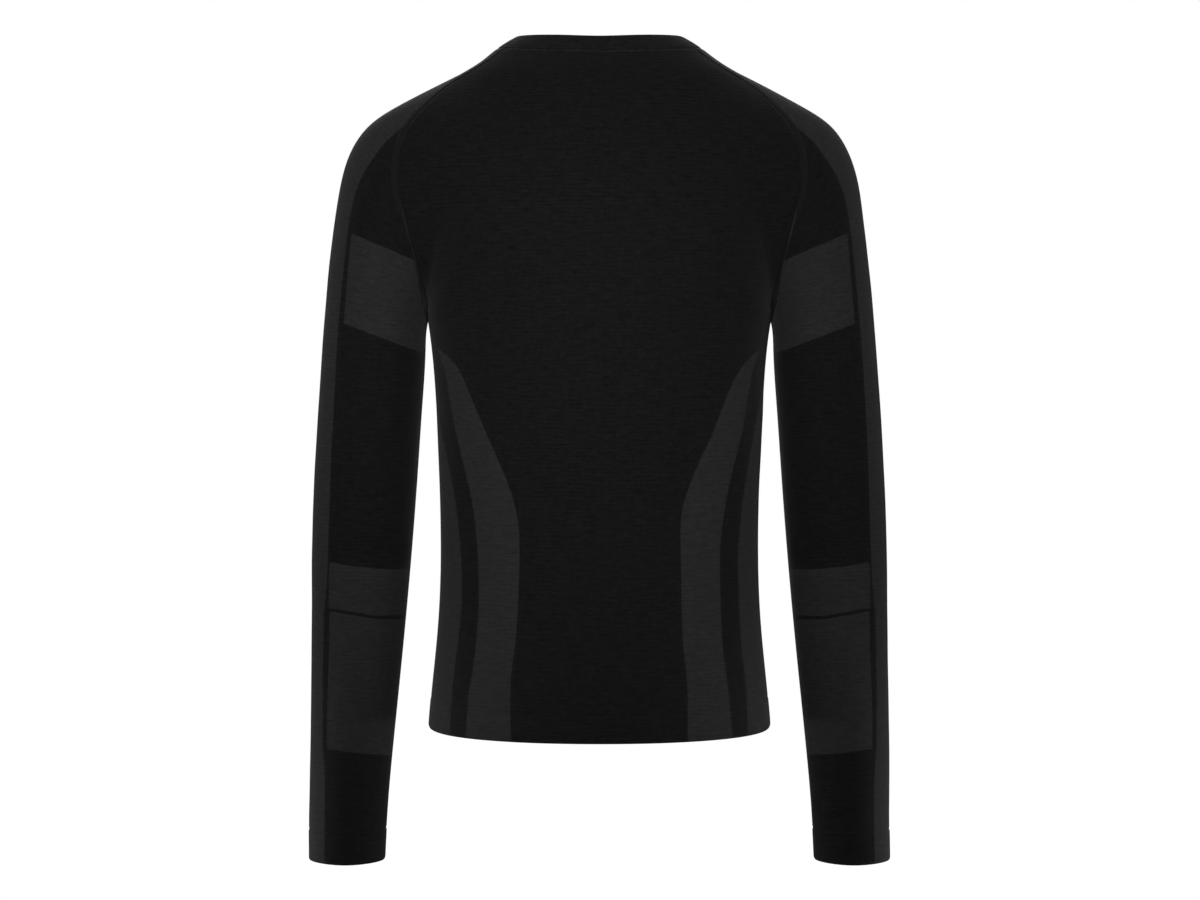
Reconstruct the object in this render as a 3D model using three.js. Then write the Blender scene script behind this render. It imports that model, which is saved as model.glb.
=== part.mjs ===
// Long-sleeved base layer top with raglan sleeves, filled out as it is worn.
// Millimetres. Up is +Z, the back faces +Y, the front -Y and the wearer's left sleeve is on +X.
// The origin is the centre of the neck opening, level with the neck ends of the shoulder lines.
import * as THREE from "three";

// Driving dimensions
const clothThickness = 1.6;
const neckbandThickness = 2.4;
const seamGap = 0.3;
const sideHemHeight = -618;
const hemDrop = 10;
const cuffHeight = -748.7;
const cuffSlope = -0.136;
const bodyPower = 2.35;
const armPower = 2.1;

// How finely each piece is divided
const columnsAcrossBody = 22;
const columnsAroundSleeve = 20;
const rowsAboveArmpit = 20;
const rowsBelowArmpit = 22;
const rowsDownSleeve = 28;
const rowsUpNeckband = 2;

// Body: half width at the side, and how far the back and the front stand from the middle plane
const bodyTable = [
  { z: 16, halfWidth: 69.5, back: 54, front: 34 },
  { z: 10, halfWidth: 77.5, back: 57.5, front: 38 },
  { z: 0, halfWidth: 93.5, back: 63, front: 44 },
  { z: -10, halfWidth: 106.5, back: 69, front: 49 },
  { z: -25, halfWidth: 126, back: 79, front: 56 },
  { z: -50, halfWidth: 141, back: 91, front: 67 },
  { z: -80, halfWidth: 157, back: 101, front: 80 },
  { z: -120, halfWidth: 169, back: 108.5, front: 95 },
  { z: -170, halfWidth: 169.5, back: 112, front: 108 },
  { z: -215, halfWidth: 163.5, back: 110.5, front: 112.5 },
  { z: -256, halfWidth: 156.4, back: 106, front: 111 },
  { z: -330, halfWidth: 149.8, back: 97, front: 105 },
  { z: -405, halfWidth: 146.6, back: 88.5, front: 101 },
  { z: -460, halfWidth: 145.8, back: 88, front: 101.5 },
  { z: -515, halfWidth: 147.4, back: 92.5, front: 103 },
  { z: -570, halfWidth: 152.2, back: 98.5, front: 104 },
  { z: -615, halfWidth: 156.4, back: 102, front: 104 },
  { z: -650, halfWidth: 158.5, back: 104, front: 104 },
];

// Shoulder and arm: inner and outer side, middle in depth, and half depth
const armTable = [
  { z: 16, inner: 0, outer: 40, middle: 0, depth: 12 },
  { z: 0, inner: 0, outer: 80, middle: 0, depth: 20 },
  { z: -10, inner: 0, outer: 102, middle: 0, depth: 30 },
  { z: -28, inner: 8, outer: 139, middle: 0, depth: 43 },
  { z: -46, inner: 22, outer: 173.5, middle: 0, depth: 53 },
  { z: -64, inner: 42, outer: 204.3, middle: 0, depth: 60 },
  { z: -83, inner: 62, outer: 222.3, middle: 0, depth: 65 },
  { z: -110, inner: 86, outer: 234.3, middle: 0, depth: 67.5 },
  { z: -156, inner: 114, outer: 242.7, middle: 0, depth: 65 },
  { z: -211, inner: 141, outer: 249, middle: 0, depth: 57 },
  { z: -253, inner: 158.4, outer: 252.8, middle: 0, depth: 51.5 },
  { z: -275, inner: 160.0, outer: 254.6, middle: 0, depth: 51 },
  { z: -331, inner: 163.4, outer: 258.6, middle: -1.5, depth: 49.5 },
  { z: -405, inner: 168.6, outer: 262.6, middle: -4, depth: 47 },
  { z: -479, inner: 174.7, outer: 264.8, middle: -8, depth: 44 },
  { z: -553, inner: 181.9, outer: 266.1, middle: -14, depth: 39.5 },
  { z: -628, inner: 190, outer: 268, middle: -22, depth: 33.5 },
  { z: -703, inner: 197.2, outer: 269.9, middle: -31, depth: 27.5 },
  { z: -760, inner: 200.6, outer: 271, middle: -38.5, depth: 25 },
];

// How wide the hollow between body and arm is rounded over
const blendTable = [
  { z: 20, radius: 6 },
  { z: -20, radius: 12 },
  { z: -60, radius: 32 },
  { z: -110, radius: 38 },
  { z: -180, radius: 18 },
  { z: -225, radius: 7 },
  { z: -255, radius: 4 },
  { z: -300, radius: 4 },
  { z: -760, radius: 4 },
];

// Raglan seams: where a line leaves the middle plane, and how many degrees it points down from the level
const backSeamTable = [
  { x: 86.5, z: -3.8, down: 0 },
  { x: 108.3, z: -19.7, down: 0 },
  { x: 137.6, z: -37.8, down: 0 },
  { x: 161.2, z: -62.6, down: 0 },
  { x: 176.9, z: -88.5, down: 0 },
  { x: 181.2, z: -125, down: 0 },
  { x: 174.2, z: -161, down: 0 },
  { x: 164, z: -200, down: 0 },
  { x: 160.5, z: -206, down: 30 },
  { x: 158.2, z: -208, down: 60 },
  { x: 157.6, z: -208, down: 90 },
];
const frontSeamTable = [
  { x: 78, z: -16, down: 0 },
  { x: 100, z: -38, down: 0 },
  { x: 124, z: -62, down: 0 },
  { x: 145, z: -90, down: 0 },
  { x: 158, z: -120, down: 0 },
  { x: 164.5, z: -155, down: 0 },
  { x: 164, z: -190, down: 0 },
  { x: 160.5, z: -206, down: 30 },
  { x: 158.2, z: -208, down: 60 },
  { x: 157.6, z: -208, down: 90 },
];

// Neckband edges by direction from the middle: -90 is the front, 0 the side and 90 the back
// (the rows past 90 only carry the curve level through the middle)
const neckTable = [
  { turn: -120, seam: -58, top: -42 },
  { turn: -90, seam: -68, top: -52 },
  { turn: -60, seam: -58, top: -42 },
  { turn: -30, seam: -24, top: -9 },
  { turn: 0, seam: -1.5, top: 9 },
  { turn: 30, seam: -4.8, top: 9 },
  { turn: 60, seam: -8.8, top: 6.4 },
  { turn: 90, seam: -10.2, top: 5 },
  { turn: 120, seam: -8.8, top: 6.4 },
];

// Smooth curve through the rows of a table, one function per column
function curveThrough(table, key, column) {
  const rows = [...table].sort((a, b) => a[key] - b[key]);
  const count = rows.length;
  const at = rows.map((row) => row[key]);
  const value = rows.map((row) => row[column]);
  const bend = new Array(count).fill(0);
  const carry = new Array(count).fill(0);
  for (let i = 1; i < count - 1; i += 1) {
    const share = (at[i] - at[i - 1]) / (at[i + 1] - at[i - 1]);
    const pivot = share * bend[i - 1] + 2;
    const rise = (value[i + 1] - value[i]) / (at[i + 1] - at[i]);
    const lead = (value[i] - value[i - 1]) / (at[i] - at[i - 1]);
    bend[i] = (share - 1) / pivot;
    carry[i] = ((6 * (rise - lead)) / (at[i + 1] - at[i - 1]) - share * carry[i - 1]) / pivot;
  }
  bend[count - 1] = 0;
  for (let i = count - 2; i >= 0; i -= 1) {
    bend[i] = bend[i] * bend[i + 1] + carry[i];
  }
  return (where) => {
    const here = Math.min(Math.max(where, at[0]), at[count - 1]);
    let low = 0;
    while (low < count - 2 && at[low + 1] < here) {
      low += 1;
    }
    const step = at[low + 1] - at[low];
    const a = (at[low + 1] - here) / step;
    const b = 1 - a;
    const curved = (a * a * a - a) * bend[low] + (b * b * b - b) * bend[low + 1];
    return a * value[low] + b * value[low + 1] + (curved * step * step) / 6;
  };
}

function curvesThrough(table, key) {
  const columns = Object.keys(table[0]).filter((name) => name !== key);
  return Object.fromEntries(columns.map((name) => [name, curveThrough(table, key, name)]));
}

const body = curvesThrough(bodyTable, "z");
const arm = curvesThrough(armTable, "z");
const blend = curvesThrough(blendTable, "z");
const neck = curvesThrough(neckTable, "turn");

const mix = (from, to, share) => from + (to - from) * share;

function easeBetween(low, high, value) {
  const share = Math.min(Math.max((value - low) / (high - low), 0), 1);
  return share * share * (3 - 2 * share);
}

// Distance outside (positive) or inside (negative) one rounded level section
function outsideOval(across, deep, halfWidth, depth, power) {
  const reach = Math.hypot(across, deep);
  if (reach < 1e-9) {
    return -Math.min(halfWidth, depth);
  }
  const sum = (Math.abs(across) / halfWidth) ** power + (Math.abs(deep) / depth) ** power;
  return reach - reach / sum ** (1 / power);
}

// The filled-out form: body and both arms, run together at the shoulders
function outsideForm(x, y, z) {
  const side = Math.abs(x);
  const depth = y > 0 ? body.back(z) : body.front(z);
  const fromBody = outsideOval(side, y, body.halfWidth(z), depth, bodyPower);
  const inner = arm.inner(z);
  const outer = arm.outer(z);
  const deep = y - arm.middle(z);
  const fromArm = outsideOval(side - (inner + outer) / 2, deep, (outer - inner) / 2, arm.depth(z), armPower);
  const radius = 1 + (blend.radius(z) - 1) * easeBetween(0, 30, Math.abs(deep));
  const overlap = Math.max(radius - Math.abs(fromBody - fromArm), 0) / radius;
  return Math.min(fromBody, fromArm) - (overlap * overlap * radius) / 4;
}

// Where a straight line from inside first meets the form
function meetForm(start, along) {
  const at = (reach) => start.clone().addScaledVector(along, reach);
  const outside = (reach) => {
    const point = at(reach);
    return outsideForm(point.x, point.y, point.z);
  };
  let far = 3;
  while (outside(far) < 0 && far < 400) {
    far += 3;
  }
  let near = far - 3;
  for (let turn = 0; turn < 26; turn += 1) {
    const middle = (near + far) / 2;
    if (outside(middle) < 0) {
      near = middle;
    } else {
      far = middle;
    }
  }
  return at((near + far) / 2);
}

function facing(point) {
  const step = 1.2;
  const slope = (dx, dy, dz) =>
    outsideForm(point.x + dx, point.y + dy, point.z + dz) - outsideForm(point.x - dx, point.y - dy, point.z - dz);
  return new THREE.Vector3(slope(step, 0, 0), slope(0, step, 0), slope(0, 0, step)).normalize();
}

const levelWay = (angle) => new THREE.Vector3(Math.cos(angle), Math.sin(angle), 0);
const mirrored = (point) => new THREE.Vector3(-point.x, point.y, point.z);

// Direction from the middle of the neck, folded so that both sides read alike
function neckTurn(point) {
  return THREE.MathUtils.radToDeg(Math.atan2(point.y, Math.abs(point.x)));
}

// Point of a neck line (its seam or its top edge) on the way from start
function meetNeckLine(start, along, line) {
  let height = line(neckTurn(start.clone().addScaledVector(along, 80)));
  let point = start;
  for (let turn = 0; turn < 12; turn += 1) {
    point = meetForm(new THREE.Vector3(start.x, start.y, height), along);
    height = mix(height, line(neckTurn(point)), 0.8);
  }
  return point;
}

// Raglan seam from the neck to the armpit, in even steps
function raglanSeam(table, side) {
  const rows = table.map((row, index) => ({ index, ...row }));
  const line = curvesThrough(rows, "index");
  const trail = [];
  const fine = 240;
  for (let i = 0; i <= fine; i += 1) {
    const index = (i / fine) * (table.length - 1);
    const down = THREE.MathUtils.degToRad(Math.min(Math.max(line.down(index), 0), 90));
    const start = new THREE.Vector3(line.x(index), 0, line.z(index));
    trail.push(meetForm(start, new THREE.Vector3(0, side * Math.cos(down), -Math.sin(down))));
  }
  const below = trail.filter((point) => point.z < neck.seam(neckTurn(point)) - 0.5);
  const firstWay = levelWay(Math.atan2(below[0].y, below[0].x));
  return evenSteps([meetNeckLine(new THREE.Vector3(), firstWay, neck.seam), ...below], rowsAboveArmpit);
}

// Points at even spacing along a line of many short steps
function evenSteps(trail, steps) {
  const lengths = [0];
  for (let i = 1; i < trail.length; i += 1) {
    lengths.push(lengths[i - 1] + trail[i].distanceTo(trail[i - 1]));
  }
  const whole = lengths[lengths.length - 1];
  const points = [];
  let low = 0;
  for (let i = 0; i <= steps; i += 1) {
    const goal = (whole * i) / steps;
    while (low < trail.length - 2 && lengths[low + 1] < goal) {
      low += 1;
    }
    const share = (goal - lengths[low]) / (lengths[low + 1] - lengths[low]);
    points.push(trail[low].clone().lerp(trail[low + 1], share));
  }
  return points;
}

// Outer line of shoulder and upper arm, from the neck seam down to the level of the armpit
function shoulderLine(armpitHeight) {
  const trail = [];
  for (let i = 0; i <= 300; i += 1) {
    const z = mix(neck.seam(0), armpitHeight, i / 300);
    trail.push(new THREE.Vector3(arm.outer(z), 0, z));
  }
  return evenSteps(trail, rowsAboveArmpit).map((point) => point.z);
}

const backSeam = raglanSeam(backSeamTable, 1);
const frontSeam = raglanSeam(frontSeamTable, -1);
const armpit = backSeam[rowsAboveArmpit];
frontSeam[rowsAboveArmpit] = armpit.clone();
const shoulderHeights = shoulderLine(armpit.z + 4);

// Rows of points over the back (side 1) or the front (side -1), from the neck to the hem
function bodyRows(seam, side) {
  const rows = [];
  const middleNeck = neck.seam(90 * side);
  for (let i = 0; i <= rowsAboveArmpit; i += 1) {
    const end = seam[i];
    const share = i / rowsAboveArmpit;
    const middle = mix(middleNeck, armpit.z, share);
    const nearNeck = (1 - share) ** 4;
    rows.push(
      rowAcross(end, side, (u) => {
        const level = mix(middle, end.z, u * u);
        return { level, nearNeck };
      }),
    );
  }
  for (let i = 1; i <= rowsBelowArmpit; i += 1) {
    const share = i / rowsBelowArmpit;
    const z = mix(armpit.z, sideHemHeight, share);
    const end = meetForm(new THREE.Vector3(0, 0, z), levelWay(0));
    const dropHere = hemDrop * share * share * (side > 0 ? 1 : 0.4);
    rows.push(rowAcross(end, side, (u) => ({ level: z - dropHere * (1 - u * u), nearNeck: 0 })));
  }
  return rows;
}

// One row from the piece's right edge to its left edge; heightAt gives the level for u from -1 to 1
function rowAcross(end, side, heightAt) {
  const row = [];
  const half = columnsAcrossBody / 2;
  const startEdge = end.x * 0.6;
  const edgeTurn = Math.atan2(end.x - startEdge, Math.abs(end.y));
  const { level: middleLevel, nearNeck } = heightAt(0);
  for (let j = 0; j <= half; j += 1) {
    const u = j / half;
    const turn = u * edgeTurn;
    const along = new THREE.Vector3(Math.sin(turn), side * Math.cos(turn), 0);
    const start = new THREE.Vector3(u * startEdge, 0, 0);
    if (nearNeck === 1) {
      row.push(meetNeckLine(start, along, neck.seam));
    } else if (j === half) {
      row.push(end.clone());
    } else {
      const { level } = heightAt(u);
      start.z = level;
      if (nearNeck > 0.001) {
        const onSeam = meetNeckLine(start, along, neck.seam).z;
        const plain = mix(neck.seam(90 * side), side > 0 ? backSeam[0].z : frontSeam[0].z, u * u);
        start.z += nearNeck * (onSeam - plain);
      }
      row.push(meetForm(start, along));
    }
  }
  row[half] = end.clone();
  const otherHalf = row.slice(1).reverse().map(mirrored);
  return [...otherHalf, ...row];
}

// Rows of points over the left sleeve, from the neck to the cuff
function sleeveRows() {
  const rows = [];
  const last = columnsAroundSleeve;
  for (let i = 0; i <= rowsAboveArmpit; i += 1) {
    const share = i / rowsAboveArmpit;
    const back = backSeam[i];
    const front = frontSeam[i];
    const outerHeight = shoulderHeights[i];
    const centre = (arm.inner(outerHeight) + arm.outer(outerHeight)) / 2;
    const closed = i === rowsAboveArmpit;
    const backTurn = closed ? Math.PI : Math.atan2(back.y, back.x - centre);
    const frontTurn = closed ? Math.PI : Math.atan2(-front.y, front.x - centre);
    const row = [];
    for (let j = 0; j <= last; j += 1) {
      const angle = mix(backTurn, -frontTurn, j / last);
      const edge = angle > 0 ? back.z : front.z;
      const bow = angle > 0 ? angle / backTurn : angle / frontTurn;
      const start = new THREE.Vector3(centre, 0, mix(outerHeight, edge, bow * bow));
      const along = levelWay(angle);
      if (j === 0) {
        row.push(back.clone());
      } else if (j === last) {
        row.push(front.clone());
      } else if (i === 0) {
        row.push(meetNeckLine(start, along, neck.seam));
      } else {
        const onSeam = meetNeckLine(start, along, neck.seam).z;
        const plain = mix(neck.seam(0), angle > 0 ? backSeam[0].z : frontSeam[0].z, bow * bow);
        start.z += share < 0.5 ? (1 - share) ** 6 * (onSeam - plain) : 0;
        row.push(meetForm(start, along));
      }
    }
    rows.push(row);
  }
  const firstHeights = rows[rowsAboveArmpit].map((point) => point.z);
  for (let i = 1; i <= rowsDownSleeve; i += 1) {
    const share = i / rowsDownSleeve;
    const row = [];
    for (let j = 0; j <= last; j += 1) {
      const angle = mix(Math.PI, -Math.PI, j / last);
      let height = mix(firstHeights[j], cuffHeight, share);
      const middle = arm.middle(height);
      height += cuffSlope * arm.depth(height) * Math.sin(angle) * share;
      const centre = (arm.inner(height) + arm.outer(height)) / 2;
      row.push(meetForm(new THREE.Vector3(centre, middle, height), levelWay(angle)));
    }
    row[last] = row[0].clone();
    rows.push(row);
  }
  return rows;
}

// Rows of points round the neckband, from its seam to its top edge
function neckbandRows(seamRing) {
  const rows = [];
  for (let i = 0; i <= rowsUpNeckband; i += 1) {
    rows.push(
      seamRing.map((foot) => {
        if (i === 0) {
          return foot.clone();
        }
        const turn = neckTurn(foot);
        const height = mix(foot.z, neck.top(turn), i / rowsUpNeckband);
        return meetForm(new THREE.Vector3(0, 0, height), new THREE.Vector3(foot.x, foot.y, 0).normalize());
      }),
    );
  }
  return rows;
}

// Closed wall from rows of points: outer skin, inner skin and the edge between them
function clothWall(rows, thickness) {
  const points = [];
  const numberOf = new Map();
  const indexRows = rows.map((row) =>
    row.map((point) => {
      const name = [point.x, point.y, point.z].map((value) => value.toFixed(4)).join(" ");
      if (!numberOf.has(name)) {
        numberOf.set(name, points.length);
        points.push(point);
      }
      return numberOf.get(name);
    }),
  );
  const normals = points.map(facing);
  const triangles = [];
  let outward = 0;
  const addTriangle = (a, b, c) => {
    if (a === b || b === c || a === c) {
      return;
    }
    const across = points[b].clone().sub(points[a]).cross(points[c].clone().sub(points[a]));
    outward += across.dot(normals[a]);
    triangles.push([a, b, c]);
  };
  for (let i = 0; i < indexRows.length - 1; i += 1) {
    for (let j = 0; j < indexRows[i].length - 1; j += 1) {
      const a = indexRows[i][j];
      const b = indexRows[i][j + 1];
      const c = indexRows[i + 1][j + 1];
      const d = indexRows[i + 1][j];
      if (points[a].distanceTo(points[c]) < points[b].distanceTo(points[d])) {
        addTriangle(a, b, c);
        addTriangle(a, c, d);
      } else {
        addTriangle(a, b, d);
        addTriangle(b, c, d);
      }
    }
  }
  if (outward < 0) {
    triangles.forEach((triangle) => triangle.reverse());
  }
  const edges = new Map();
  for (const [a, b, c] of triangles) {
    for (const [from, to, other] of [[a, b, c], [b, c, a], [c, a, b]]) {
      edges.set(`${from} ${to}`, { from, to, other });
    }
  }
  const rim = [...edges.values()].filter(({ from, to }) => !edges.has(`${to} ${from}`));
  for (const { from, to, other } of rim) {
    for (const index of [from, to]) {
      const inside = points[other].clone().sub(points[index]).setLength(6).add(points[index]);
      const ownSide = facing(inside);
      if (ownSide.dot(normals[index]) < 0.75) {
        normals[index] = ownSide;
      }
    }
  }
  const inward = new Map();
  for (const { from, to } of rim) {
    const along = points[to].clone().sub(points[from]).normalize();
    for (const index of [from, to]) {
      const away = normals[index].clone().cross(along).normalize();
      inward.set(index, [...(inward.get(index) ?? []), away]);
    }
  }
  for (const [index, [first, second]] of inward) {
    const both = first.clone().add(second).divideScalar(Math.max(1 + first.dot(second), 0.5));
    points[index] = points[index].clone().addScaledVector(both, seamGap / 2);
  }
  const inner = points.map((point, index) => point.clone().addScaledVector(normals[index], -thickness));
  const positions = [...points, ...inner].flatMap((point) => [point.x, point.y, point.z]);
  const shift = points.length;
  const faces = triangles.flat();
  for (const [a, b, c] of triangles) {
    faces.push(a + shift, c + shift, b + shift);
  }
  for (const { from, to } of rim) {
    faces.push(to, from, from + shift);
    faces.push(to, from + shift, to + shift);
  }
  const geometry = new THREE.BufferGeometry();
  geometry.setAttribute("position", new THREE.Float32BufferAttribute(positions, 3));
  geometry.setIndex(faces);
  geometry.computeVertexNormals();
  return geometry;
}

const backRows = bodyRows(backSeam, 1);
const frontRows = bodyRows(frontSeam, -1);
const leftRows = sleeveRows();
const rightRows = leftRows.map((row) => row.map(mirrored));

// The neck seam all round: back, left shoulder, front, right shoulder
const seamRing = [
  ...backRows[0],
  ...leftRows[0].slice(1),
  ...[...frontRows[0]].reverse().slice(1),
  ...[...rightRows[0]].reverse().slice(1),
];

const pieces = [
  { name: "back", rows: backRows, thickness: clothThickness, colour: 0x1d1d1f },
  { name: "front", rows: frontRows, thickness: clothThickness, colour: 0x1d1d1f },
  { name: "sleeve_left", rows: leftRows, thickness: clothThickness, colour: 0x232325 },
  { name: "sleeve_right", rows: rightRows, thickness: clothThickness, colour: 0x232325 },
  { name: "neckband", rows: neckbandRows(seamRing), thickness: neckbandThickness, colour: 0x202022 },
];

const top = new THREE.Group();
top.name = "base_layer_top";
for (const { name, rows, thickness, colour } of pieces) {
  const material = new THREE.MeshStandardMaterial({ color: colour, roughness: 0.9, metalness: 0 });
  const mesh = new THREE.Mesh(clothWall(rows, thickness), material);
  mesh.name = name;
  top.add(mesh);
}

export default top;
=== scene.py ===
# %% [markdown]
# # A long-sleeved base layer top
# The part's solids come in first, as a frame: every piece made here lies on one of them.
# %% Open the frame
import math
from functools import partial

import bpy
import numpy as np
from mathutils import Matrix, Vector, noise


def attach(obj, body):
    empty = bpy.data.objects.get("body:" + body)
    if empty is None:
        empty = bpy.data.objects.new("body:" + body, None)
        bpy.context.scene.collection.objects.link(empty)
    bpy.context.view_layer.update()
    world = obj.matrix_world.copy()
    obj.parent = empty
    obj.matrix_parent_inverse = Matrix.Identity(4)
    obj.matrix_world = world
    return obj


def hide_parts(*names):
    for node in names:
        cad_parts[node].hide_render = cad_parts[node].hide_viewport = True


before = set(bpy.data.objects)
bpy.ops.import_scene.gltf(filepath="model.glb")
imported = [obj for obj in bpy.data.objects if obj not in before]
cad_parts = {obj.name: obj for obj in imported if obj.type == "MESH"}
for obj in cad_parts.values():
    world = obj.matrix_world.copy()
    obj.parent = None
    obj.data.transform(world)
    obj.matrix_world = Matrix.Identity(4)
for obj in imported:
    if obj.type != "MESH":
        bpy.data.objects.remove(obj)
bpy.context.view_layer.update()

MM = 0.001


# %% [markdown]
# ## The form the cloth is filled out to
# A knitted top has no shape of its own until it is filled out. The form under it is worked out from a
# few level sections: the body is a rounded oval and each arm another one, run together at the shoulder.
# The tables give these sections in millimetres by height, measured down from the neck ends of the
# shoulder lines. They are the same as in the solids, so that the cloth lies just where the solids are.
# %% Sections of body and arms
BODY = [  # height, half width, back, front
    (16, 69.5, 54, 34), (10, 77.5, 57.5, 38), (0, 93.5, 63, 44), (-10, 106.5, 69, 49), (-25, 126, 79, 56),
    (-50, 141, 91, 67), (-80, 157, 101, 80), (-120, 169, 108.5, 95), (-170, 169.5, 112, 108),
    (-215, 163.5, 110.5, 112.5), (-256, 156.4, 106, 111), (-330, 149.8, 97, 105), (-405, 146.6, 88.5, 101),
    (-460, 145.8, 88, 101.5), (-515, 147.4, 92.5, 103), (-570, 152.2, 98.5, 104), (-615, 156.4, 102, 104),
    (-650, 158.5, 104, 104),
]
ARM = [  # height, inner side, outer side, middle in depth, half depth
    (16, 0, 40, 0, 12), (0, 0, 80, 0, 20), (-10, 0, 102, 0, 30), (-28, 8, 139, 0, 43),
    (-46, 22, 173.5, 0, 53), (-64, 42, 204.3, 0, 60), (-83, 62, 222.3, 0, 65),
    (-110, 86, 234.3, 0, 67.5), (-156, 114, 242.7, 0, 65), (-211, 141, 249, 0, 57),
    (-253, 158.4, 252.8, 0, 51.5), (-275, 160, 254.6, 0, 51), (-331, 163.4, 258.6, -1.5, 49.5),
    (-405, 168.6, 262.6, -4, 47), (-479, 174.7, 264.8, -8, 44), (-553, 181.9, 266.1, -14, 39.5),
    (-628, 190, 268, -22, 33.5), (-703, 197.2, 269.9, -31, 27.5), (-760, 200.6, 271, -38.5, 25),
]
BLEND = [  # height, how softly body and arm run together
    (20, 6), (-20, 12), (-60, 32), (-110, 38), (-180, 18), (-225, 7), (-255, 4), (-300, 4), (-760, 4),
]
BODY_POWER, ARM_POWER = 2.35, 2.1  # 2 is a plain oval, more is squarer


def curve(table, column):
    """Smooth curve through a table, as a function of its first column; level beyond the ends."""
    rows = np.array(sorted(table), float)
    at, value = rows[:, 0], rows[:, column]
    step, count = np.diff(at), len(at)
    rules, right = np.eye(count), np.zeros(count)
    for i in range(1, count - 1):
        rules[i, i - 1:i + 2] = step[i - 1], 2 * (step[i - 1] + step[i]), step[i]
        right[i] = 6 * ((value[i + 1] - value[i]) / step[i] - (value[i] - value[i - 1]) / step[i - 1])
    bend = np.linalg.solve(rules, right)
    fine = np.linspace(at[0], at[-1], 4001)
    low = np.clip(np.searchsorted(at, fine, side="right") - 1, 0, count - 2)
    a = (at[low + 1] - fine) / step[low]
    b = 1 - a
    curved = ((a**3 - a) * bend[low] + (b**3 - b) * bend[low + 1]) * step[low] ** 2 / 6
    smooth = a * value[low] + b * value[low + 1] + curved
    return lambda where: np.interp(where, fine, smooth)


body_half, body_back, body_front = (curve(BODY, i) for i in (1, 2, 3))
arm_inner, arm_outer, arm_middle, arm_depth = (curve(ARM, i) for i in (1, 2, 3, 4))
blend_radius = curve(BLEND, 1)
print("half width at the armpits", body_half(-251).round(1), "mm")


# %% [markdown]
# The form is kept as a distance: less than nothing inside it, more outside. A straight line from inside
# then meets the cloth where the distance passes through nothing, which is how every point of every piece
# is found. This is quick for whole grids of points at once, and it never leaves a hole at the shoulder.
# %% Distance from the form, and where a line meets it
SECTION_CURVES = (
    body_half, body_back, body_front, arm_inner, arm_outer, arm_middle, arm_depth, blend_radius)


def sections_at(z):
    return [section(z) for section in SECTION_CURVES]


CREASE_EASE = 30  # how far the sharp crease at the arm's middle plane takes to turn soft
STRIDE, STRIDES, HALVINGS = 3.0, 130, 16  # a line is followed in strides, then the last one is halved


def soft(distance, width):
    """0 at an edge, 1 from width on."""
    share = np.clip(distance / width, 0, 1)
    return share * share * (3 - 2 * share)


def outside_oval(across, deep, half, depth, power):
    reach = np.maximum(np.hypot(across, deep), 1e-9)
    total = (np.abs(across) / half) ** power + (np.abs(deep) / depth) ** power
    return reach - reach / np.maximum(total, 1e-12) ** (1 / power)


def outside_form(point, sections=None):
    x, y = np.abs(point[..., 0]), point[..., 1]
    half, back, front, inner, outer, middle, depth, radius = sections or sections_at(point[..., 2])
    from_body = outside_oval(x, y, half, np.where(y > 0, back, front), BODY_POWER)
    deep = y - middle
    from_arm = outside_oval(x - (inner + outer) / 2, deep, (outer - inner) / 2, depth, ARM_POWER)
    radius = 1 + (radius - 1) * soft(np.abs(deep), CREASE_EASE)
    overlap = np.maximum(radius - np.abs(from_body - from_arm), 0) / radius
    return np.minimum(from_body, from_arm) - overlap**2 * radius / 4


def meet_form(start, along):
    """Where lines from inside first meet the form."""
    start, along = np.broadcast_arrays(start, along)
    level = not np.any(along[..., 2])
    held = sections_at(start[..., 2]) if level else None
    outside = lambda reach: outside_form(start + along * reach[..., None], held)
    far = np.full(start.shape[:-1], STRIDE)
    for _ in range(STRIDES):
        inside = outside(far) < 0
        if not inside.any():
            break
        far = far + STRIDE * inside
    near = far - STRIDE
    for _ in range(HALVINGS):
        middle = (near + far) / 2
        inside = outside(middle) < 0
        near, far = np.where(inside, middle, near), np.where(inside, far, middle)
    return start + along * ((near + far) / 2)[..., None]


def unit(way):
    return way / np.maximum(np.linalg.norm(way, axis=-1, keepdims=True), 1e-9)


def facing(point, step=1.2):
    """Which way the form faces at points on it."""
    rises = [outside_form(point + way) - outside_form(point - way) for way in np.eye(3) * step]
    return unit(np.stack(rises, -1))


def spot(x, y, z):
    return np.stack(np.broadcast_arrays(np.asarray(x, float), y, z), -1)


def mix(low, high, share):
    return low + (high - low) * share


print("side of the waist", meet_form(spot(0, 0, -405), spot(1, 0, 0)).round(1))


# %% [markdown]
# ## Seams
# A raglan sleeve runs on over the shoulder to the neck, so the body is joined to it by one long curved
# seam at the back and one at the front, both ending under the arm. Their routes are tables as well:
# where a line leaves the middle plane, and how far it points down. The neck seam and the top of the
# neckband are heights by direction from the middle of the neck.
# %% Routes of the seams
BACK_SEAM = [  # across, height, degrees down
    (86.5, -3.8, 0), (108.3, -19.7, 0), (137.6, -37.8, 0), (161.2, -62.6, 0), (176.9, -88.5, 0),
    (181.2, -125, 0), (174.2, -161, 0), (164, -200, 0), (160.5, -206, 30), (158.2, -208, 60),
    (157.6, -208, 90),
]
FRONT_SEAM = [  # across, height, degrees down
    (78, -16, 0), (100, -38, 0), (124, -62, 0), (145, -90, 0), (158, -120, 0), (164.5, -155, 0),
    (164, -190, 0), (160.5, -206, 30), (158.2, -208, 60), (157.6, -208, 90),
]
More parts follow.
